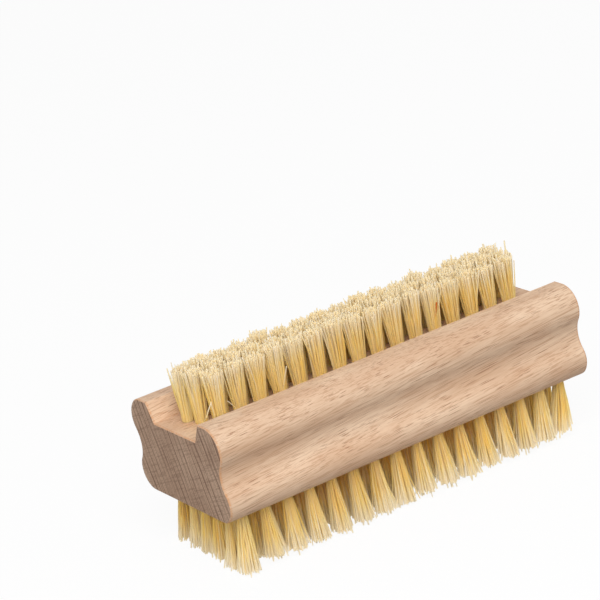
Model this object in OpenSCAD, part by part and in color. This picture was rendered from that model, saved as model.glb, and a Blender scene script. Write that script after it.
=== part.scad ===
// Double-sided nail brush. A moulded beech stock has three staggered rows of plant-fibre tufts in the
// channel on its top and six straight rows under its flat bottom. Each tuft is folded over a flat
// wire anchor at the end of its own blind hole. The brush stands on the tips of its lower tufts, with
// X along its length and the origin in the middle of those tips.

/* [Stock] */
// Length of the stock between its sawn ends
stock_l = 95; // [85:1:120]
// Width of the stock over its round edges
stock_w = 37; // [34:0.5:44]
// Height of the stock from its flat bottom to its shoulders
stock_h = 21.5; // [20.5:0.5:26]
// Radius of the round upper edges
upper_edge_r = 5; // [4:0.1:5.5]
// Radius of the round lower edges
lower_edge_r = 4.4; // [3.6:0.1:5]
// Depth of the finger groove along each side
groove_depth = 1.85; // [1:0.05:2.4]

/* [Channel] */
// Depth of the channel below the shoulders
channel_depth = 4.4; // [3:0.1:5]
// Width of the channel at its floor
channel_floor_w = 17; // [16.8:0.1:18]
// Width of the channel between the shoulders
channel_top_w = 21.6; // [19:0.1:22]

/* [Tuft holes] */
// Diameter of the holes drilled for the upper tufts
upper_hole_d = 3; // [2.4:0.1:3.1]
// Diameter of the holes drilled for the lower tufts
lower_hole_d = 2.2; // [2:0.1:2.8]
// Depth of the holes below the wood's surface
hole_depth = 6.5; // [5:0.1:7]

/* [Upper tufts] */
// Distance between two tufts of an upper row
upper_pitch = 5.14; // [4.9:0.01:6]
// Distance between two upper rows
upper_row_pitch = 3.5; // [3.3:0.1:4.5]
// Least distance from a sawn end to the middle of an upper tuft
upper_end_margin = 6; // [5:0.1:9]
// Length of the longest upper fibres above the channel's floor
upper_trim = 12.6; // [9:0.1:16]

/* [Lower tufts] */
// Distance between two tufts of a lower row
lower_pitch = 5.67; // [5.1:0.01:6.4]
// Wood left beside the outermost lower rows, from their middle to the round edge
lower_side_margin = 1.8; // [1.7:0.1:2.8]
// Least distance from a sawn end to the middle of a lower tuft
lower_end_margin = 4.6; // [4:0.1:8]
// Distance by which the lower rows are off the middle of the stock, towards +X
lower_shift = 0.6; // [0:0.1:1]
// Length of the lower fibres below the flat bottom
lower_trim = 13.5; // [10:0.1:18]
// Distance by which the outermost lower tufts lean out at their tips
lower_lean = 1.6; // [0:0.1:2.4]

/* [Fibres] */
// Gap between the tips of neighbouring tufts
tip_gap = 0.3; // [0.2:0.05:0.6]
// Most by which a strand is shorter than its field's longest
uneven = 1.2; // [0:0.1:2]
// Length that is cut off the longest lower strands, where the brush stands on them
stand_cut = 0.5; // [0.1:0.1:1]

/* [Anchors] */
// Thickness of the flat anchor wire
anchor_t = 0.35; // [0.2:0.05:0.5]
// Height of an anchor along its hole
anchor_h = 1.7; // [1:0.1:2.2]
// Length of each end of an anchor that bites into the wood
anchor_bite = 0.25; // [0.1:0.05:0.3]
// Thickness of the folded fibres under an anchor
anchor_lift = 0.8; // [0.4:0.1:1.2]

/* [Fits] */
// Clearance round the tufts, their backing strips and the anchors
clearance = 0.05; // [0.03:0.01:0.1]

/* [Hidden] */

// Rows across each field, counted from the side at -Y
upper_rows = 3;
lower_rows = 6;
// How far each upper row is off the middle of the stock, as a share of the distance between its tufts
upper_shift_shares = [0.13, 0.13, -0.13];

// Thickness of the strip of wood that backs each row, let in flush with the surface round it
strip_t = 0.6;
// Wood that a strip keeps beyond the first and the last hole of its row
strip_rim = 0.6;
// How far every cut runs past the face it opens
overrun = 1;

// Strands in one tuft, and the degrees that one strand's sector takes
strands = 3;
sector = 360 / strands;
// Corners of a strand, each a share of the tuft's radius and its degrees from the sector's middle
strand_corner_shares = [[0.12, 0], [0.72, -50], [1, 0], [0.72, 50]];
// Corners of a strand's triangles: base, tip and four sides
strand_faces = [
    [0, 1, 2], [0, 2, 3], [4, 6, 5], [4, 7, 6],
    [0, 4, 5], [0, 5, 1], [1, 5, 6], [1, 6, 2],
    [2, 6, 7], [2, 7, 3], [3, 7, 4], [3, 4, 0]
];
// Share of the strip's thickness at which a strand starts, and to which a root reaches up
strand_start_share = 0.5;
root_end_share = 0.75;
// Degrees by which the pattern of long and short strands turns from row to row, tuft to tuft and
// strand to strand, and by which a tuft is turned from its neighbour
row_turn = 67;
tuft_turn = 137.5;
strand_turn = 211;

// Sides of the drawn circles
edge_fn = 64;
hole_fn = 16;

beech_colour = [0.82, 0.66, 0.51];
fibre_colour = [0.93, 0.84, 0.60];
wire_colour = [0.72, 0.72, 0.70];

// Levels above the tips on which the brush stands
bottom_z = lower_trim;
channel_z = bottom_z + stock_h - channel_depth;

// Middles of the round edges, and the groove's arc, which meets both edges without a corner
upper_edge_y = stock_w / 2 - upper_edge_r;
upper_edge_z = stock_h - upper_edge_r;
lower_edge_y = stock_w / 2 - lower_edge_r;
lower_edge_z = lower_edge_r;
edge_span = upper_edge_z - lower_edge_z;
groove_drop = (edge_span + 2 * groove_depth * (upper_edge_r - lower_edge_r) / edge_span) / 2;
groove_r = (groove_drop * groove_drop / groove_depth + groove_depth) / 2 - upper_edge_r;
groove_y = stock_w / 2 - groove_depth + groove_r;
groove_z = upper_edge_z - groove_drop;

// Tufts in a full row, and distance between the lower rows
upper_columns = floor((stock_l - 2 * upper_end_margin) / upper_pitch) + 1;
lower_columns = floor((stock_l - 2 * lower_end_margin) / lower_pitch) + 1;
lower_row_pitch = (2 * lower_edge_y - 2 * lower_side_margin) / (lower_rows - 1);

// Width of each bed for a backing strip. The lower beds keep clear of the round edges
upper_bed_w = upper_row_pitch;
lower_bed_w = min(lower_row_pitch, 2 * (lower_side_margin - clearance));

// Place of an anchor along its hole, and length of the folded end of a tuft
anchor_z = anchor_lift - hole_depth;
root_l = hole_depth - clearance - root_end_share * strip_t;

// The first upper row has one tuft fewer, so that its tufts stand between those of the second
function upper_row_columns(row) = row == 1 ? upper_columns - 1 : upper_columns;

// A tuft's root has a little play in its hole, and its anchor is longer than the hole is wide
function root_d(hole_d) = hole_d - 2 * clearance;

function anchor_l(hole_d) = hole_d + 2 * anchor_bite;

function row_y(row, rows, pitch) = (row - (rows + 1) / 2) * pitch;

// A backing strip runs past the first and the last hole of its row
function strip_l(columns, pitch, hole_d) = (columns - 1) * pitch + hole_d + 2 * strip_rim;

// The lower tufts lean out more the farther their row is from the middle
function lower_row_lean(row) =
    lower_lean * row_y(row, lower_rows, lower_row_pitch) / row_y(lower_rows, lower_rows, lower_row_pitch);

// How much of the unevenness a strand is short by, from 0 to 1
function short_share(row, column, strand) =
    (1 + sin(row * row_turn + column * tuft_turn + strand * strand_turn)) / 2;

// Corners of a strand at one level, in a tuft with these half axes that is this far to the side
function strand_ring(middle, half_l, half_w, side, z) = [
    for (corner = strand_corner_shares)
        [half_l * corner[0] * cos(middle + corner[1]), side + half_w * corner[0] * sin(middle + corner[1]), z]
];

// The places of the rows. Inside them z = 0 is the wood and +Z is the way the fibres point
module at_upper_row(row) {
    translate([upper_shift_shares[row - 1] * upper_pitch, row_y(row, upper_rows, upper_row_pitch), channel_z])
        children();
}

module at_lower_row(row) {
    translate([lower_shift, row_y(row, lower_rows, lower_row_pitch), bottom_z])
        mirror([0, 0, 1])
            children();
}

// Puts its children at each tuft of a row, which they know as $column
module along_row(columns, pitch) {
    for ($column = [0:columns - 1])
        translate([($column - (columns - 1) / 2) * pitch, 0, 0])
            children();
}

module box_from_floor(l, w, z, h) {
    translate([-l / 2, -w / 2, z])
        cube([l, w, h]);
}

// Section of the stock across its length, with y along the width and z up
module stock_section() {
    difference() {
        union() {
            for (side = [-1, 1]) {
                translate([side * upper_edge_y, upper_edge_z])
                    circle(r = upper_edge_r, $fn = edge_fn);
                translate([side * lower_edge_y, lower_edge_z])
                    circle(r = lower_edge_r, $fn = edge_fn);
            }
            polygon([
                [-lower_edge_y, 0], [lower_edge_y, 0], [lower_edge_y, lower_edge_z],
                [groove_y, groove_z], [upper_edge_y, upper_edge_z], [upper_edge_y, stock_h],
                [-upper_edge_y, stock_h], [-upper_edge_y, upper_edge_z], [-groove_y, groove_z],
                [-lower_edge_y, lower_edge_z]
            ]);
        }
        for (side = [-1, 1])
            translate([side * groove_y, groove_z])
                circle(r = groove_r, $fn = edge_fn);
        polygon([
            [-channel_floor_w / 2, stock_h - channel_depth], [channel_floor_w / 2, stock_h - channel_depth],
            [channel_top_w / 2, stock_h], [channel_top_w / 2, stock_h + overrun],
            [-channel_top_w / 2, stock_h + overrun], [-channel_top_w / 2, stock_h]
        ]);
    }
}

// Everything cut away for one tuft: its blind hole and the kerf that its anchor bites
module tuft_cut(hole_d) {
    translate([0, 0, -hole_depth])
        cylinder(d = hole_d, h = hole_depth + overrun, $fn = hole_fn);
    box_from_floor(anchor_l(hole_d) + 2 * clearance, anchor_t + 2 * clearance,
        anchor_z - clearance, anchor_h + 2 * clearance);
}

// Everything cut away for one row: the bed of its strip, its holes and their kerfs
module row_cut(columns, pitch, hole_d, bed_w) {
    box_from_floor(strip_l(columns, pitch, hole_d) + 2 * clearance, bed_w, -strip_t, strip_t + overrun);
    along_row(columns, pitch)
        tuft_cut(hole_d);
}

module stock() {
    color(beech_colour)
        difference() {
            translate([0, 0, bottom_z])
                rotate([90, 0, 90])
                    linear_extrude(height = stock_l, center = true)
                        stock_section();
            for (row = [1:upper_rows])
                at_upper_row(row)
                    row_cut(upper_row_columns(row), upper_pitch, upper_hole_d, upper_bed_w);
            for (row = [1:lower_rows])
                at_lower_row(row)
                    row_cut(lower_columns, lower_pitch, lower_hole_d, lower_bed_w);
        }
}

// Folded end of a tuft in its hole, with the slot that its anchor fills
module tuft_root(hole_d) {
    difference() {
        translate([0, 0, clearance - hole_depth])
            cylinder(d = root_d(hole_d), h = root_l, $fn = hole_fn);
        box_from_floor(hole_d, anchor_t + 2 * clearance,
            anchor_z - clearance, anchor_h + 2 * clearance);
    }
}

// One strand, which widens from the tuft's root to its flat tip
module strand(middle, root_r, tip_half_l, tip_half_w, lean, length) {
    root = strand_ring(middle, root_r, root_r, 0, -strand_start_share * strip_t);
    tip = strand_ring(middle, tip_half_l, tip_half_w, lean, length);
    polyhedron(points = concat(root, tip), faces = strand_faces);
}

// A row of tufts on its backing strip. trim is the longest strand, before cut is taken off its tip, and
// lean is how far the tips stand to the side of their roots
module tuft_row(row, columns, pitch, row_pitch, hole_d, bed_w, trim, cut, lean) {
    color(fibre_colour) {
        box_from_floor(strip_l(columns, pitch, hole_d), bed_w - clearance, -strip_t, strip_t);
        along_row(columns, pitch) {
            tuft_root(hole_d);
            for (i = [0:strands - 1])
                strand((i + 1 / 2) * sector + $column * tuft_turn, root_d(hole_d) / 2,
                    (pitch - tip_gap) / 2, (row_pitch - tip_gap) / 2, lean,
                    min(trim - cut, trim - uneven * short_share(row, $column, i)));
        }
    }
}

module upper_tufts_row(row) {
    at_upper_row(row)
        tuft_row(row, upper_row_columns(row), upper_pitch, upper_row_pitch, upper_hole_d, upper_bed_w,
            upper_trim, 0, 0);
}

// The lower strands would be longer by the cut, which takes the longest of them flat
module lower_tufts_row(row) {
    at_lower_row(row)
        tuft_row(row, lower_columns, lower_pitch, lower_row_pitch, lower_hole_d, lower_bed_w,
            lower_trim + stand_cut, stand_cut, lower_row_lean(row));
}

// The anchors of a row, each an upright plate along the row that spans its hole
module anchor_row(columns, pitch, hole_d) {
    color(wire_colour)
        along_row(columns, pitch)
            box_from_floor(anchor_l(hole_d), anchor_t, anchor_z, anchor_h);
}

module upper_anchors_row(row) {
    at_upper_row(row)
        anchor_row(upper_row_columns(row), upper_pitch, upper_hole_d);
}

module lower_anchors_row(row) {
    at_lower_row(row)
        anchor_row(lower_columns, lower_pitch, lower_hole_d);
}

stock();
upper_tufts_row(1);  // upper_tufts_row_1
upper_tufts_row(2);  // upper_tufts_row_2
upper_tufts_row(3);  // upper_tufts_row_3
lower_tufts_row(1);  // lower_tufts_row_1
lower_tufts_row(2);  // lower_tufts_row_2
lower_tufts_row(3);  // lower_tufts_row_3
lower_tufts_row(4);  // lower_tufts_row_4
lower_tufts_row(5);  // lower_tufts_row_5
lower_tufts_row(6);  // lower_tufts_row_6
upper_anchors_row(1);  // upper_anchors_row_1
upper_anchors_row(2);  // upper_anchors_row_2
upper_anchors_row(3);  // upper_anchors_row_3
lower_anchors_row(1);  // lower_anchors_row_1
lower_anchors_row(2);  // lower_anchors_row_2
lower_anchors_row(3);  // lower_anchors_row_3
lower_anchors_row(4);  // lower_anchors_row_4
lower_anchors_row(5);  // lower_anchors_row_5
lower_anchors_row(6);  // lower_anchors_row_6
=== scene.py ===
"""Looks of a double-sided nail brush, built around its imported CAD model."""
import math
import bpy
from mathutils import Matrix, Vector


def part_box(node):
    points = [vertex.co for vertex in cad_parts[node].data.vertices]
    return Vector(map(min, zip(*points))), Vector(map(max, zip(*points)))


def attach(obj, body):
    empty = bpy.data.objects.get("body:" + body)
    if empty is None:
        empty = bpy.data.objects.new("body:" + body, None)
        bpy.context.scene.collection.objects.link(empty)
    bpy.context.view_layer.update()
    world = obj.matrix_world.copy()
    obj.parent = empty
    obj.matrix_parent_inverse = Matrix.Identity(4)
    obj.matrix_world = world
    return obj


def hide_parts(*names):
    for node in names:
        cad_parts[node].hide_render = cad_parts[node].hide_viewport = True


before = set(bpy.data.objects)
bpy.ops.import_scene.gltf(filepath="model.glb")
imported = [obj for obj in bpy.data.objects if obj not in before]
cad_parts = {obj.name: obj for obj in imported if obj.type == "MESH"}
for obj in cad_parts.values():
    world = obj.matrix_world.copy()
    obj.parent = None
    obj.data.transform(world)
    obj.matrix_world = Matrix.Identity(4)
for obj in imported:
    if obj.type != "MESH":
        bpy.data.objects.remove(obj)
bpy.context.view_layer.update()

from types import SimpleNamespace

import bmesh
import bpy
import numpy as np
from mathutils import Matrix, Vector

MM = 0.001
BODY = "root"
GOLDEN_ANGLE = math.pi * (3 - math.sqrt(5))

# Slope of the beech's grain against the length of the stock, in radians, and how far it sways, in
# millimetres
GRAIN_RISE = 0.1
GRAIN_DRIFT = 0.015
GRAIN_SWAY = 3.0
# Slope of the growth rings on the sawn ends against the upright, in radians, their spacing in metres
# and the number of fine lines for each ring
END_SLANT = 0.36
RING_GAP = 0.00175
LINES_PER_RING = 2.3

# Section of the stock, in millimetres, as in the CAD model
UPPER_EDGE_R = 5.0
LOWER_EDGE_R = 4.4
GROOVE_DEPTH = 1.85
CHANNEL_DEPTH = 4.4
CHANNEL_FLOOR_W = 17.0
CHANNEL_TOP_W = 21.6
# Width of the broken arrises at the sawn ends, and of the darker band that the saw leaves beside them
ARRIS = 0.22
BURNISH = 0.6
ARC_STEPS = 20
# Edges that turn by more than this stay sharp
SHARP_TURN = math.radians(28)
# Faces are sawn ends where their normal points along the stock by more than this
SAWN_SHARE = 0.9

# Holes, in millimetres. Plugs that cut them run past the wood, and the anchors past the holes
HOLE_DEPTH = 6.5
HOLE_SIDES = 20
OVERRUN = 1.0
ANCHOR_BITE = 0.25
# Depth of the anchors' tops, where the fibres start
ANCHOR_TOP = 4.0

# Size of the stock and its levels, in millimetres, from the CAD model
stock_low, stock_high = [Vector(corner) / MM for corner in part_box("stock")]
STOCK_L = stock_high.x - stock_low.x
STOCK_W = stock_high.y - stock_low.y
STOCK_H = stock_high.z - stock_low.z
BOTTOM_Z = stock_low.z
CHANNEL_Z = stock_high.z - CHANNEL_DEPTH

# The two fields of tufts, in millimetres:
#   up          the way the fibres point, 1 or -1
#   level       height of the wood that they stand on
#   columns     tufts in each row, from the front row to the back one
#   side_y      distance of the outermost rows from the middle of the stock
#   hole_d      diameter of the holes
#   play        gap between a hole's wall and the middles of the outermost fibres
#   fibres      fibres in each tuft
#   head        half length and half width of a tuft's head
#   trim        length of the fibres from the wood to their tips
#   over        how far a single fibre may pass that
#   far_pull    how far the last head towards +X leans back from that end
#   far_drop    how much shorter the last tuft towards +X is than the first one
#   far_power   power of the curve by which that comes on along the row
#   uneven      least and most by which a tuft is shorter still
#   wander      spread of the tips, as a share of the head
#   ragged      spread of the fibres' lengths
#   rim_drop    how much shorter the fibres at the rim of a head are
#   crossing    share of the fibres that lean across to the next tuft
UPPER = SimpleNamespace(
    name="upper", up=1, level=CHANNEL_Z, columns=[16, 17, 17], side_y=3.5, hole_d=3.0, play=0.14,
    fibres=90, head=(2.25, 1.65), trim=12.6, over=0.8, far_pull=0.6, far_drop=0.8, far_power=4,
    uneven=(-0.35, 0.55), wander=0.13, ragged=0.3, rim_drop=0.7, crossing=0.014)
# The lower fibres end a little above the floor on which the brush stands
LOWER = SimpleNamespace(
    name="lower", up=-1, level=BOTTOM_Z, columns=[16] * 6, side_y=12.3, hole_d=2.2, play=0.1,
    fibres=92, head=(2.45, 2.35), trim=BOTTOM_Z, over=-0.03, far_pull=2.6, far_drop=1.6, far_power=0.7,
    uneven=(0.0, 0.5), wander=0.1, ragged=0.22, rim_drop=0.4, crossing=0.008)

# Share of the far drop by which each upper row is shorter than the one behind it
UPPER_SLOPE = 0.4
# How far the heads of the outermost lower rows lean out to their side
LOWER_LEAN = 1.6
# How far the last lower heads towards -X lean out over that end, and how much more than that they do in
# the front row and less in the back one
NEAR_LEAN = 0.7
NEAR_SKEW = 0.9
# Powers of the curves by which the heads lean more and more towards the ends of a row
FAR_BEND = 4
NEAR_BEND = 8
# How much shorter the lower front row is trimmed round its second and third tuft, and where along the
# row and how widely, as shares of the row's half length
FRONT_DIP = 1.2
DIP_PLACE = -0.8
DIP_REACH = 0.12
# Share of a row's half length beyond which a tuft is its last one
LAST = 0.99
# Painted shade: how golden the roots are painted in the outermost lower rows, where they are 1 in the
# inner ones, standing in for the warm light that bounces between the shaded tufts. Towards the ends of a
# row they fade to another share, from so far off as a share of the row's half length.
SIDE_PAINTED_SHADE = 0.3
END_PAINTED_SHADE = 0.1
FADE_REACH = 0.35

# Fibres, in millimetres, and how much thinner and thicker single ones are
FIBRE_R = 0.145
SIZE_SPREAD = (0.8, 1.2)
FIBRE_SIDES = 4
# Radians by which a fibre's section is turned for a tone of 1, so that no two stand alike
SECTION_TURN = 57.0
# Radius at the anchor, at the wood, halfway and at the tip, as shares
RADIUS_SHARES = [1.0, 1.0, 1.05, 1.12]
# Height at the wood, halfway and at the tip, as shares, how far a fibre has flared there and how much of
# its bow it has
HEIGHT_SHARES = [0.0, 0.5, 1.0]
FLARE_SHARES = [0.0, 0.44, 1.0]
BOW_SHARES = [0.0, 1.0, 0.0]
# Distance of the fibres from the middle of their tuft at the anchor, as a share of that at the wood
ROOT_SHARE = 0.95
# Spread of the heads' places, of the fibres' places in the hole and of their bows
HEAD_SCATTER = 0.16
ROOT_SCATTER = 0.03
BOW = 0.12
# Share of stray fibres, how much more than the others they wander and are bowed, and the most that any
# fibre wanders, as a share of the head
STRAY_SHARE = 0.07
STRAY_FACTOR = 3.5
WANDER_LIMIT = 0.42
# Share of its bow that a fibre of a row's last tufts keeps
LAST_BOW = 0.4
# Least and most distance of a crossing fibre's tip from the middle of its tuft's head
CROSSING_REACH = (2.3, 3.3)
# Power of the curve by which the fibres get shorter towards the rim of a head
RIM_POWER = 3
# Share of fibres that missed the trimming, how far they stand out, and the most that one is too short
LONG_SHARE = 0.08
LONG_BY = 0.6
SHORTEST = 3.5
# Shape of the spread of the fibres' tones between 0 and 1, and how far a whole tuft is off it
TONE_SHAPE = (1.8, 1.6)
TUFT_TONE = 0.06
# Loose fibres in front of the upper rows, each as (root, bend, tip) from the channel's floor. The last
# one is stained.
LOOSE = [
    ((-41.2, -1.3, 0), (-42.0, -5.0, 2.6), (-40.2, -5.3, 5.7)),
    ((-39.6, -4.3, 0), (-39.9, -5.0, 2.6), (-40.3, -5.3, 5.6)),
    ((-34.2, -4.4, 0), (-34.7, -5.1, 2.4), (-36.4, -5.4, 4.6)),
    ((-22.9, -4.4, 0), (-22.2, -5.0, 2.9), (-20.9, -5.4, 7.0)),
    ((18.2, -4.6, 0), (18.5, -5.2, 5.3), (19.2, -5.3, 7.9)),
]
# Tones of the plain loose fibres and of the stained one
PLAIN_TONE = 1.0
STAINED_TONE = -1.0

# How much light the floor gives back, how much of the white that the camera sees is its own glow, and
# half its length in millimetres
FLOOR_GREY = 0.38
FLOOR_GLOW = 0.93
FLOOR_HALF = 2000
# Strength of the world as a light. To the camera it is white.
WORLD_LIGHT = 0.35
# Middle of the object, which the lamps point at, in metres
MIDDLE = (0, 0, 0.02)

# The photograph's camera: azimuth, elevation and roll in degrees, place in metres from the middle of
# the channel's floor, lens and sensor in millimetres, and how far it sees in metres
CAMERA_ANGLES = (29.718, 19.174, -10.471)
CAMERA_PLACE = (-0.301878, -0.508563, 0.221492)
CAMERA_LENS = 173.297
CAMERA_SENSOR = 36
CAMERA_REACH = 20


def rgb(red, green, blue, alpha=1.0):
    """A linear colour from 0 to 255 display values."""
    linear = []
    for value in (red, green, blue):
        v = value / 255
        linear.append(v / 12.92 if v <= 0.04045 else ((v + 0.055) / 1.055) ** 2.4)
    return (*linear, alpha)


# Materials

class Nodes:
    """Builds a node tree with few words."""

    def __init__(self, tree):
        self.tree = tree

    def new(self, kind, inputs=None, **settings):
        node = self.tree.nodes.new(kind)
        for name, value in settings.items():
            setattr(node, name, value)
        for name, value in (inputs or {}).items():
            self.put(node.inputs[name], value)
        return node

    def put(self, socket, value):
        if isinstance(value, bpy.types.NodeSocket):
            self.tree.links.new(value, socket)
        else:
            socket.default_value = value

    def place(self):
        """The object's own coordinates, in metres."""
        return self.new("ShaderNodeTexCoord").outputs["Object"]

    def attribute(self, name):
        return self.new("ShaderNodeAttribute", attribute_name=name).outputs["Fac"]

    def axis(self, coordinates, index):
        return self.new("ShaderNodeSeparateXYZ", {0: coordinates}).outputs[index]

    def math(self, operation, a, b=0.0):
        return self.new("ShaderNodeMath", {0: a, 1: b}, operation=operation).outputs[0]

    def times(self, a, b):
        return self.math("MULTIPLY", a, b)

    def minus(self, a, b):
        return self.math("SUBTRACT", a, b)

    def mix(self, share, a, b):
        """Colour a where the share is 0 and colour b where it is 1."""
        node = self.new("ShaderNodeMix", data_type="RGBA")
        self.put(node.inputs[0], share)
        self.put(node.inputs[6], a)
        self.put(node.inputs[7], b)
        return node.outputs[2]

    def ramp(self, value, low, high, out_low=0.0, out_high=1.0):
        """A smooth step from out_low to out_high while the value goes from low to high."""
        node = self.new("ShaderNodeMapRange", {0: value, 1: low, 2: high, 3: out_low, 4: out_high},
                        interpolation_type="SMOOTHSTEP")
        return node.outputs[0]

    def stretched(self, coordinates, scale, turn=(0, 0, 0)):
        node = self.new("ShaderNodeMapping", {"Vector": coordinates, "Scale": scale, "Rotation": turn})
        return node.outputs[0]

    def noise(self, coordinates, scale, detail, roughness):
        """Noise with so many lumps to the metre along each axis."""
        node = self.new("ShaderNodeTexNoise", {"Vector": self.stretched(coordinates, scale), "Scale": 1.0,
                                               "Detail": detail, "Roughness": roughness})
        return node.outputs[0]

    def waves(self, value, length, sway, swing, start):
        """Lines a wave's length apart, moved to and fro by a noise. A lower start makes them wider."""
        turns = self.math("ADD", self.times(value, 2 * math.pi / length), self.times(sway, swing))
        return self.ramp(self.math("SINE", turns), start, 1.0)

    def dashes(self, coordinates, scale, reach, share):
        """Separate long spots: 1 in the middle of each and 0 between them, in a share of the cells."""
        place = self.stretched(coordinates, scale)
        cells = self.new("ShaderNodeTexVoronoi", {"Vector": place, "Scale": 1.0})
        chance = self.new("ShaderNodeSeparateColor", {0: cells.outputs["Color"]}).outputs[0]
        size = self.times(self.ramp(chance, 1 - share, 1.0), reach)
        return self.ramp(self.minus(size, cells.outputs["Distance"]), 0.0, reach * 0.4)


def material(name):
    made = bpy.data.materials.new(name)
    made.use_nodes = True
    made.node_tree.nodes.clear()
    return made, Nodes(made.node_tree)


def finish_material(n, colour, roughness, height, bump_mm, **sockets):
    bump = n.new("ShaderNodeBump", {"Height": height, "Distance": bump_mm * MM, "Strength": 1.0})
    shader = n.new("ShaderNodeBsdfPrincipled", {"Base Color": colour, "Roughness": roughness,
                                                "Normal": bump.outputs[0], **sockets})
    n.new("ShaderNodeOutputMaterial", {"Surface": shader.outputs[0]})


def grain_place(n):
    """Object coordinates turned to the grain, which runs a little askew and sways."""
    place = n.stretched(n.place(), (1, 1, 1), (0, GRAIN_RISE, GRAIN_DRIFT))
    lumps = n.stretched(place, (12, 40, 40))
    sway = n.new("ShaderNodeTexNoise", {"Vector": lumps, "Scale": 1.0, "Detail": 1.0})
    centred = n.new("ShaderNodeVectorMath", {0: sway.outputs["Color"], 1: (0.5, 0.5, 0.5)},
                    operation="SUBTRACT")
    moved = n.new("ShaderNodeVectorMath", {0: centred.outputs[0], "Scale": GRAIN_SWAY * MM},
                  operation="SCALE")
    return n.new("ShaderNodeVectorMath", {0: place, 1: moved.outputs[0]}, operation="ADD").outputs[0]


def burnished(n, streaks):
    """The share of the burnish that the saw leaves on the sides at each end."""
    along = n.math("ABSOLUTE", n.axis(n.place(), 0))
    near_end = n.ramp(along, (STOCK_L / 2 - BURNISH) * MM, (STOCK_L / 2 - ARRIS) * MM)
    return n.times(near_end, n.ramp(streaks, 0.35, 0.6, 0.15, 0.7))


def beech_side():
    """Beech along the grain: soft bands, fine streaks and short dark dashes where the rays are cut."""
    made, n = material("beech_side")
    place = grain_place(n)
    clouds = n.noise(place, (45, 150, 150), 3.0, 0.55)
    bands = n.noise(place, (25, 500, 500), 3.0, 0.6)
    streaks = n.noise(place, (140, 2300, 2300), 3.0, 0.7)
    hairs = n.noise(place, (110, 4200, 4200), 2.0, 0.6)
    crowd = n.ramp(n.noise(place, (45, 300, 300), 2.0, 0.5), 0.3, 0.6, 0.5, 1.0)
    long = n.dashes(place, (80, 3200, 3200), 0.34, 0.8)
    short = n.dashes(place, (150, 4200, 4200), 0.36, 0.85)
    dash = n.times(n.math("MAXIMUM", long, n.times(short, 0.85)), crowd)
    colour = n.mix(n.ramp(clouds, 0.3, 0.7), rgb(220, 183, 151), rgb(240, 210, 180))
    colour = n.mix(n.ramp(bands, 0.4, 0.7, 0.0, 0.28), colour, rgb(208, 167, 132))
    colour = n.mix(n.ramp(streaks, 0.46, 0.62, 0.0, 0.25), colour, rgb(200, 155, 119))
    colour = n.mix(n.ramp(hairs, 0.52, 0.6, 0.0, 0.5), colour, rgb(184, 136, 100))
    colour = n.mix(n.times(dash, 0.8), colour, rgb(150, 100, 68))
    colour = n.mix(burnished(n, streaks), colour, rgb(214, 152, 102))
    height = n.minus(n.times(streaks, 0.4), n.times(dash, 0.5))
    finish_material(n, colour, 0.6, height, 0.03)
    return made


def beech_end():
    """Sawn end grain: slanted growth rings with fine lines between them, short rays across and pores."""
    made, n = material("beech_end")
    turned = n.stretched(n.place(), (1, 1, 1), (END_SLANT, 0, 0))
    across = n.axis(turned, 1)
    clouds = n.noise(n.place(), (1, 90, 90), 3.0, 0.5)
    sway = n.noise(turned, (1, 170, 45), 3.0, 0.6)
    strength = n.ramp(n.noise(turned, (1, 420, 90), 2.0, 0.5), 0.35, 0.65, 0.25, 1.0)
    jitter = n.noise(turned, (1, 900, 90), 2.0, 0.6)
    rings = n.waves(across, RING_GAP, sway, 9.0, 0.5)
    lines = n.waves(across, RING_GAP / LINES_PER_RING, jitter, 8.0, 0.45)
    rays = n.noise(turned, (1, 130, 2700), 2.0, 0.6)
    pores = n.noise(turned, (1, 3900, 2300), 2.0, 0.6)
    colour = n.mix(n.ramp(clouds, 0.3, 0.7), rgb(194, 160, 134), rgb(216, 183, 156))
    colour = n.mix(n.times(n.times(rings, strength), 0.85), colour, rgb(112, 79, 60))
    colour = n.mix(n.times(lines, 0.5), colour, rgb(118, 86, 68))
    colour = n.mix(n.ramp(rays, 0.52, 0.64, 0.0, 0.32), colour, rgb(108, 75, 57))
    colour = n.mix(n.ramp(pores, 0.52, 0.68, 0.0, 0.5), colour, rgb(116, 86, 70))
    height = n.minus(n.times(rings, -0.5), n.times(pores, 0.7))
    finish_material(n, colour, 0.8, height, 0.05)
    return made


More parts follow.
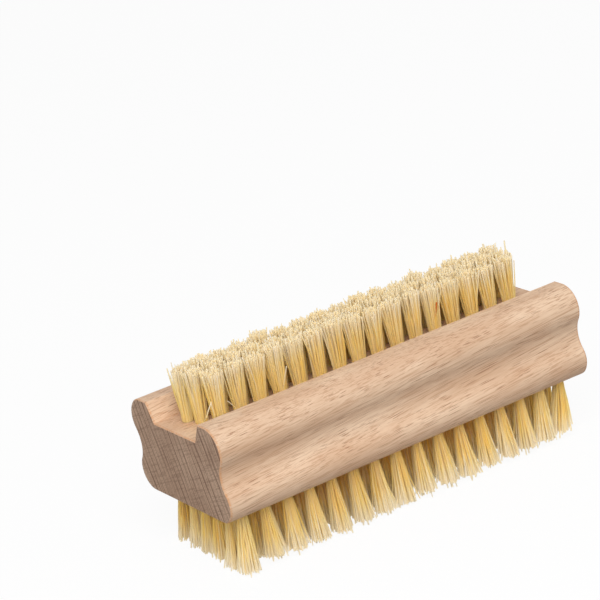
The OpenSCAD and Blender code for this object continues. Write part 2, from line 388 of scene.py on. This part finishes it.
def fibre():
    """Dry plant fibre that lets light through: each has its own tone, is paler towards its tip, partly
    its own pale cut end and partly painted light, and has golden painted shade at the roots of the inner
    lower rows.
    """
    made, n = material("plant_fibre")
    tone = n.attribute("tone")
    along = n.attribute("along")
    mottle = n.noise(n.place(), (1500, 1500, 260), 2.0, 0.5)
    # Painted shade: the roots of the inner lower rows are painted golden, standing in for the warm light
    # that bounces between the shaded tufts
    root = n.mix(n.attribute("painted_shade"), rgb(253, 242, 196), rgb(255, 216, 112))
    stain = n.times(n.ramp(tone, STAINED_TONE, 0.0, 1.0, 0.0), n.ramp(along, 0.42, 0.55))
    colour = n.mix(n.ramp(tone, 0.0, 0.6), rgb(253, 234, 152), rgb(253, 243, 198))
    colour = n.mix(n.ramp(tone, 0.5, 0.9), colour, rgb(254, 248, 227))
    colour = n.mix(n.ramp(mottle, 0.35, 0.75, 0.0, 0.3), colour, rgb(253, 234, 156))
    # Paler towards the tip: partly the fibre's own pale cut end and partly painted light, the lit tips
    # above the shaded roots
    colour = n.mix(n.ramp(along, 0.5, 1.0, 0.0, 0.75), colour, rgb(251, 246, 236))
    # The roots take that colour, golden painted shade in the inner lower rows
    colour = n.mix(n.ramp(along, 0.0, 0.8, 0.6, 0.0), colour, root)
    colour = n.mix(stain, colour, rgb(224, 130, 56))
    surface = n.new("ShaderNodeBsdfPrincipled", {"Base Color": colour, "Roughness": 0.5,
                                                 "Specular IOR Level": 0.6})
    golden = n.mix(n.ramp(along, 0.1, 0.9, 0.3, 0.0), colour, rgb(255, 242, 128))
    through = n.new("ShaderNodeBsdfTranslucent", {"Color": golden})
    both = n.new("ShaderNodeMixShader", {0: 0.62, 1: surface.outputs[0], 2: through.outputs[0]})
    n.new("ShaderNodeOutputMaterial", {"Surface": both.outputs[0]})
    return made


def wire():
    """Tinned flat wire with fine drawing marks along it."""
    made, n = material("anchor_wire")
    marks = n.noise(n.place(), (300, 6000, 6000), 3.0, 0.6)
    colour = n.mix(n.ramp(marks, 0.3, 0.7), rgb(176, 176, 172), rgb(214, 214, 208))
    finish_material(n, colour, n.ramp(marks, 0.2, 0.8, 0.28, 0.48), marks, 0.01, Metallic=1.0)
    return made


SIDE, END, FIBRE, WIRE = beech_side(), beech_end(), fibre(), wire()


# The stock

def mesh_object(name, vertices, faces, materials):
    """An object from vertices in millimetres."""
    mesh = bpy.data.meshes.new(name)
    mesh.from_pydata((np.asarray(vertices) * MM).tolist(), [], faces)
    for each in materials:
        mesh.materials.append(each)
    made = bpy.data.objects.new(name, mesh)
    bpy.context.scene.collection.objects.link(made)
    return made


def arc(middle_y, middle_z, radius, start, stop):
    """Points of an arc in the section, from one angle to another."""
    return [(middle_y + radius * math.cos(a), middle_z + radius * math.sin(a))
            for a in np.linspace(start, stop, ARC_STEPS)]


def stock_section():
    """Closed outline of the section, anticlockwise, with z up from the flat bottom."""
    upper_y, upper_z = STOCK_W / 2 - UPPER_EDGE_R, STOCK_H - UPPER_EDGE_R
    lower_y, lower_z = STOCK_W / 2 - LOWER_EDGE_R, LOWER_EDGE_R
    span = upper_z - lower_z
    drop = (span + 2 * GROOVE_DEPTH * (UPPER_EDGE_R - LOWER_EDGE_R) / span) / 2
    groove_r = (drop * drop / GROOVE_DEPTH + GROOVE_DEPTH) / 2 - UPPER_EDGE_R
    groove_y, groove_z = STOCK_W / 2 - GROOVE_DEPTH + groove_r, upper_z - drop
    low_turn = math.atan2(groove_z - lower_z, groove_y - lower_y)
    high_turn = math.atan2(groove_z - upper_z, groove_y - upper_y)
    side = arc(lower_y, lower_z, LOWER_EDGE_R, -math.pi / 2, low_turn)
    side += arc(groove_y, groove_z, groove_r, math.pi + low_turn, math.pi + high_turn)[1:]
    side += arc(upper_y, upper_z, UPPER_EDGE_R, high_turn, math.pi / 2)[1:]
    side += [(CHANNEL_TOP_W / 2, STOCK_H), (CHANNEL_FLOOR_W / 2, STOCK_H - CHANNEL_DEPTH)]
    return side + [(-y, z) for y, z in reversed(side)]


def inset(outline, distance):
    """The outline moved inwards by a distance."""
    p = np.array(outline)
    ahead = np.roll(p, -1, 0) - p
    ahead /= np.linalg.norm(ahead, axis=1)[:, None]
    normals = np.stack([-ahead[:, 1], ahead[:, 0]], 1)
    corner = normals + np.roll(normals, 1, 0)
    corner /= np.sum(corner * normals, 1)[:, None]
    return p + corner * distance


def find_rows():
    """Each row of tufts as (field, row, places of its roots), in millimetres, read from its anchors."""
    found = []
    for field in (UPPER, LOWER):
        for row, count in enumerate(field.columns, 1):
            low, high = [Vector(c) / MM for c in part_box("%s_anchors_row_%d" % (field.name, row))]
            half = field.hole_d / 2 + ANCHOR_BITE
            x = np.linspace(low.x + half, high.x - half, count)
            y = np.full(count, (low.y + high.y) / 2)
            found.append((field, row, np.stack([x, y], 1)))
    return found


ROWS = find_rows()


def hole_cutters():
    """One mesh of plugs that are cut away for all the tuft holes."""
    vertices, faces = [], []
    for field, row, places in ROWS:
        radius = field.hole_d / 2
        ends = sorted((field.level - field.up * HOLE_DEPTH, field.level + field.up * OVERRUN))
        for x, y in places:
            first = len(vertices)
            for z in ends:
                for k in range(HOLE_SIDES):
                    a = 2 * math.pi * k / HOLE_SIDES
                    vertices.append((x + radius * math.cos(a), y + radius * math.sin(a), z))
            low = list(range(first, first + HOLE_SIDES))
            high = [v + HOLE_SIDES for v in low]
            faces += [low[::-1], high]
            for k in range(HOLE_SIDES):
                j = (k + 1) % HOLE_SIDES
                faces.append([low[k], low[j], high[j], high[k]])
    return mesh_object("hole_cutters", vertices, faces, [])


def moulding():
    """The stock without its holes, with broken arrises at the sawn ends."""
    outline = np.array(stock_section())
    outline[:, 1] += BOTTOM_Z
    small = inset(outline, ARRIS)
    half = STOCK_L / 2
    sections = [(-half, small), (-half + ARRIS, outline), (half - ARRIS, outline), (half, small)]
    vertices = [(x, y, z) for x, points in sections for y, z in points]
    count = len(outline)
    last = (len(sections) - 1) * count
    faces = [list(range(count))[::-1], [last + k for k in range(count)]]
    for s in range(len(sections) - 1):
        for k in range(count):
            j = (k + 1) % count
            faces.append([s * count + k, s * count + j, (s + 1) * count + j, (s + 1) * count + k])
    return mesh_object("beech_stock", vertices, faces, [SIDE, END])


def drill(body):
    """Cuts the tuft holes into the stock's mesh."""
    cutters = hole_cutters()
    holes = body.modifiers.new("holes", "BOOLEAN")
    holes.operation = "DIFFERENCE"
    holes.solver = "EXACT"
    holes.object = cutters
    bpy.context.view_layer.update()
    drilled = bpy.data.meshes.new_from_object(body.evaluated_get(bpy.context.evaluated_depsgraph_get()))
    body.modifiers.clear()
    body.data = drilled
    bpy.data.objects.remove(cutters)


def is_sawn(face):
    """True for the faces of the two sawn ends."""
    outside = abs(face.calc_center_median().x) > (STOCK_L / 2 - ARRIS) * MM
    return abs(face.normal.x) > SAWN_SHARE and outside


def build_stock():
    body = moulding()
    drill(body)
    bm = bmesh.new()
    bm.from_mesh(body.data)
    for face in bm.faces:
        face.smooth = True
        face.material_index = 1 if is_sawn(face) else 0
    for edge in bm.edges:
        if len(edge.link_faces) == 2 and edge.calc_face_angle() > SHARP_TURN:
            edge.smooth = False
    bm.to_mesh(body.data)
    bm.free()
    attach(body, BODY)
    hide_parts("stock")


build_stock()


# Fibres

def store(mesh, name, values):
    """Keeps one number for each vertex, for the material to read."""
    mesh.attributes.new(name, "FLOAT", "POINT").data.foreach_set("value", values.astype(np.float32))


def fibre_mesh(name, centres, radii, tone, along, painted_shade):
    """Fibres as four-sided tubes. centres is (fibres, rings, 3), and radii and along (fibres, rings)."""
    count, rings = radii.shape
    turn = np.arange(FIBRE_SIDES) * 2 * math.pi / FIBRE_SIDES
    start = (tone * SECTION_TURN)[:, None, None]
    ring = np.stack([np.cos(turn + start), np.sin(turn + start), np.zeros((count, 1, FIBRE_SIDES))], 3)
    walls = centres[:, :, None, :] + radii[:, :, None, None] * ring
    caps = walls[:, -1:, :, :]
    vertices = np.concatenate([walls, caps], 1).reshape(-1, 3)
    per = (rings + 1) * FIBRE_SIDES
    one = []
    for r in range(rings - 1):
        for k in range(FIBRE_SIDES):
            j = (k + 1) % FIBRE_SIDES
            a, b = r * FIBRE_SIDES, (r + 1) * FIBRE_SIDES
            one.append([a + k, a + j, b + j, b + k])
    one.append([rings * FIBRE_SIDES + k for k in range(FIBRE_SIDES)])
    faces = (np.arange(count)[:, None, None] * per + np.array(one)[None]).reshape(-1, FIBRE_SIDES)
    if centres[0, -1, 2] < centres[0, 0, 2]:
        faces = faces[:, ::-1]
    made = mesh_object(name, vertices, faces.tolist(), [FIBRE])
    levels = np.concatenate([along, along[:, -1:]], 1)
    store(made.data, "tone", np.repeat(tone, per))
    store(made.data, "along", np.repeat(levels.reshape(-1), FIBRE_SIDES))
    # How golden each fibre's root is painted, as painted shade between the tufts
    store(made.data, "painted_shade", np.repeat(painted_shade, per))
    made.data.update()
    return made


def head_places(field, places, ends, rng):
    """Where the middles of the tufts' heads are. ends goes from -1 to 1 along the row."""
    heads = places.copy()
    # From -1 in the front row to 1 in the back one
    side = places[0, 1] / field.side_y
    heads[:, 0] -= np.clip(ends, 0, 1) ** FAR_BEND * field.far_pull
    if field is LOWER:
        heads[:, 0] += np.clip(-ends, 0, 1) ** NEAR_BEND * (NEAR_SKEW * side - NEAR_LEAN)
        heads[:, 1] += LOWER_LEAN * side
    return heads + rng.normal(0, HEAD_SCATTER, heads.shape)


def tuft_heights(field, row, places, ends, rng):
    """The length that each tuft of a row is trimmed to."""
    fall = ((ends + 1) / 2) ** field.far_power
    uneven = rng.uniform(*field.uneven, len(places))
    if field is UPPER:
        fall += UPPER_SLOPE * (1 - places[0, 1] / field.side_y)
    else:
        # The first tuft of a lower row has its full length
        uneven *= ends > -LAST
    heights = field.trim - field.far_drop * fall - uneven
    if field is LOWER and row == 1:
        heights -= FRONT_DIP * np.exp(-((ends - DIP_PLACE) / DIP_REACH) ** 2)
    return heights


def tuft_discs(field, tufts, rng):
    """Each fibre's tuft, and its place in a disc of radius 1 that the tuft fills evenly."""
    tuft = np.repeat(np.arange(tufts), field.fibres)
    k = np.tile(np.arange(field.fibres), tufts)
    radius = np.sqrt((k + 0.5) / field.fibres)
    angle = k * GOLDEN_ANGLE + rng.uniform(0, 2 * math.pi, tufts)[tuft]
    return tuft, radius, np.stack([radius * np.cos(angle), radius * np.sin(angle)], 1)


def fibre_lengths(field, wanted, radius, rng):
    """Lengths spread round the wanted ones: shorter at the rim of a head, with a few long ones."""
    count = len(radius)
    length = wanted + rng.normal(0, field.ragged, count) - field.rim_drop * radius ** RIM_POWER
    length += rng.exponential(LONG_BY, count) * (rng.uniform(size=count) < LONG_SHARE)
    return np.clip(length, field.trim - SHORTEST, field.trim + field.over)


def painted_root_shade(field, row, ends):
    """How golden the roots of each tuft are painted, as painted shade between the tufts."""
    if field is UPPER:
        inner = 0.0
    else:
        inner = SIDE_PAINTED_SHADE if row in (1, len(field.columns)) else 1.0
    return inner * np.clip((1 - np.abs(ends)) / FADE_REACH, END_PAINTED_SHADE, 1.0)


def fibre_axes(field, middle, root, tip, bow, length):
    """Points of each fibre's axis: at the anchor, at the wood, halfway and at the tip."""
    axes = np.zeros((len(root), 1 + len(HEIGHT_SHARES), 3))
    axes[:, 0, :2] = middle + (root - middle) * ROOT_SHARE
    axes[:, 0, 2] = field.level - field.up * ANCHOR_TOP
    for ring, (rise, flare, bowed) in enumerate(zip(HEIGHT_SHARES, FLARE_SHARES, BOW_SHARES), 1):
        axes[:, ring, :2] = root + (tip - root) * flare + bow * bowed
        axes[:, ring, 2] = field.level + field.up * length * rise
    return axes


def with_loose(axes, radii, tone, painted_shade):
    """The upper front row's fibres and the loose ones in front of them."""
    drop = np.array([[0, 0, -ANCHOR_TOP]])
    loose = np.array([np.concatenate([p[:1] + drop, p]) for p in np.array(LOOSE)])
    loose[:, :, 2] += UPPER.level
    axes = np.concatenate([axes, loose])
    radii = np.concatenate([radii, np.full(loose.shape[:2], FIBRE_R)])
    tone = np.concatenate([tone, [PLAIN_TONE] * (len(LOOSE) - 1) + [STAINED_TONE]])
    painted_shade = np.concatenate([painted_shade, np.zeros(len(LOOSE))])
    return axes, radii, tone, painted_shade


def row_of_tufts(field, row, places, seed):
    """All fibres of one row: packed in their holes, flared towards uneven tips."""
    rng = np.random.default_rng(seed)
    ends = places[:, 0] / np.abs(places[:, 0]).max()
    heads = head_places(field, places, ends, rng)
    heights = tuft_heights(field, row, places, ends, rng)
    tuft, radius, disc = tuft_discs(field, len(places), rng)
    count = len(tuft)

    root_r = field.hole_d / 2 - field.play
    root = places[tuft] + disc * root_r + rng.normal(0, ROOT_SCATTER, (count, 2))
    wander = rng.normal(0, field.wander, (count, 2))
    stray = rng.uniform(size=count) < STRAY_SHARE
    wander[stray] *= STRAY_FACTOR
    wander = np.clip(wander, -WANDER_LIMIT, WANDER_LIMIT)
    tip = heads[tuft] + (disc + wander) * np.array(field.head)
    tip[:, 0] = np.clip(tip[:, 0], stock_low.x, stock_high.x)
    tip[:, 1] = np.clip(tip[:, 1], stock_low.y, stock_high.y)
    length = fibre_lengths(field, heights[tuft], radius, rng)

    # The last tufts' fibres are bowed less, and none of them crosses to another tuft
    last = np.abs(ends[tuft]) > LAST
    bow = rng.normal(0, BOW, (count, 2))
    bow[stray] *= STRAY_FACTOR
    bow[last] *= LAST_BOW
    crossing = (rng.uniform(size=count) < field.crossing) & ~last
    across = np.sign(disc[:, 0]) * rng.uniform(*CROSSING_REACH, count)
    tip[crossing, 0] = (heads[tuft, 0] + across)[crossing]

    axes = fibre_axes(field, places[tuft], root, tip, bow, length)
    size = FIBRE_R * rng.uniform(*SIZE_SPREAD, count)
    radii = size[:, None] * np.array(RADIUS_SHARES)
    tone = rng.beta(*TONE_SHAPE, count) + rng.normal(0, TUFT_TONE, len(places))[tuft]
    tone = np.clip(tone, 0, 1)
    # Painted shade: how golden each fibre's root is painted
    painted_shade = painted_root_shade(field, row, ends)[tuft]
    if field is UPPER and row == 1:
        axes, radii, tone, painted_shade = with_loose(axes, radii, tone, painted_shade)
    along = np.tile(np.array([0.0] + HEIGHT_SHARES), (len(tone), 1))
    made = fibre_mesh("%s_fibres_row_%d" % (field.name, row), axes, radii, tone, along, painted_shade)
    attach(made, BODY)
    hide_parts("%s_tufts_row_%d" % (field.name, row))


for seed, (field, row, places) in enumerate(ROWS, 1):
    row_of_tufts(field, row, places, seed)

for name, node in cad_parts.items():
    if "anchors" in name:
        node.data.materials.clear()
        node.data.materials.append(WIRE)


# Floor, light and camera

def seen_directly(n):
    """1 for what the camera sees itself, in gloss or through glass, and 0 for light."""
    path = n.new("ShaderNodeLightPath")
    seen = n.math("MAXIMUM", path.outputs["Is Camera Ray"], path.outputs["Is Glossy Ray"])
    return n.math("MAXIMUM", seen, path.outputs["Is Transmission Ray"])


def build_floor():
    """White paper to the eye and grey to the light, that still takes the object's shadow."""
    made, n = material("floor_paper")
    seen = seen_directly(n)
    colour = n.mix(seen, (FLOOR_GREY, FLOOR_GREY, FLOOR_GREY, 1), (1, 1, 1, 1))
    diffuse = n.new("ShaderNodeBsdfDiffuse", {"Color": colour})
    white = n.new("ShaderNodeEmission", {"Color": (1, 1, 1, 1), "Strength": 1.0})
    share = n.times(seen, FLOOR_GLOW)
    both = n.new("ShaderNodeMixShader", {0: share, 1: diffuse.outputs[0], 2: white.outputs[0]})
    n.new("ShaderNodeOutputMaterial", {"Surface": both.outputs[0]})
    s = FLOOR_HALF
    corners = [(-s, -s, 0), (s, -s, 0), (s, s, 0), (-s, s, 0)]
    mesh_object("floor", corners, [[0, 1, 2, 3]], [made])


def build_world():
    world = bpy.data.worlds.new("studio")
    world.use_nodes = True
    world.node_tree.nodes.clear()
    n = Nodes(world.node_tree)
    strength = n.ramp(seen_directly(n), 0.0, 1.0, WORLD_LIGHT, 1.0)
    sky = n.new("ShaderNodeBackground", {"Color": (1, 1, 1, 1), "Strength": strength})
    n.new("ShaderNodeOutputWorld", {"Surface": sky.outputs[0]})
    bpy.context.scene.world = world


def area_light(name, place, size, power):
    """A square lamp that points at the object, in metres and watts."""
    light = bpy.data.lights.new(name, "AREA")
    light.size = size
    light.energy = power
    made = bpy.data.objects.new(name, light)
    made.location = place
    made.rotation_euler = (Vector(MIDDLE) - Vector(place)).to_track_quat("-Z", "Y").to_euler()
    bpy.context.scene.collection.objects.link(made)


def build_camera():
    azimuth, elevation, roll = [math.radians(a) for a in CAMERA_ANGLES]
    forward = Vector((math.sin(azimuth) * math.cos(elevation), math.cos(azimuth) * math.cos(elevation),
                      -math.sin(elevation)))
    level = Vector((math.cos(azimuth), -math.sin(azimuth), 0))
    upright = level.cross(forward)
    right = math.cos(roll) * level + math.sin(roll) * upright
    up = math.cos(roll) * upright - math.sin(roll) * level
    camera = bpy.data.cameras.new("camera")
    camera.sensor_width = CAMERA_SENSOR
    camera.lens = CAMERA_LENS
    camera.clip_end = CAMERA_REACH
    made = bpy.data.objects.new("camera", camera)
    turn = Matrix((right, up, -forward)).transposed()
    place = Vector(CAMERA_PLACE) + Vector((0, 0, CHANNEL_Z * MM))
    made.matrix_world = Matrix.Translation(place) @ turn.to_4x4()
    bpy.context.scene.collection.objects.link(made)
    bpy.context.scene.camera = made


build_floor()
build_world()
area_light("key", place=(-0.27, -0.56, 0.7), size=0.6, power=5.8)
area_light("fill", place=(-0.36, -0.62, 0.25), size=0.4, power=0.85)
build_camera()
bpy.context.scene.view_settings.view_transform = "Standard"
# Light passes through many fibres before it leaves a tuft
bpy.context.scene.cycles.max_bounces = 16
bpy.context.scene.cycles.diffuse_bounces = 12
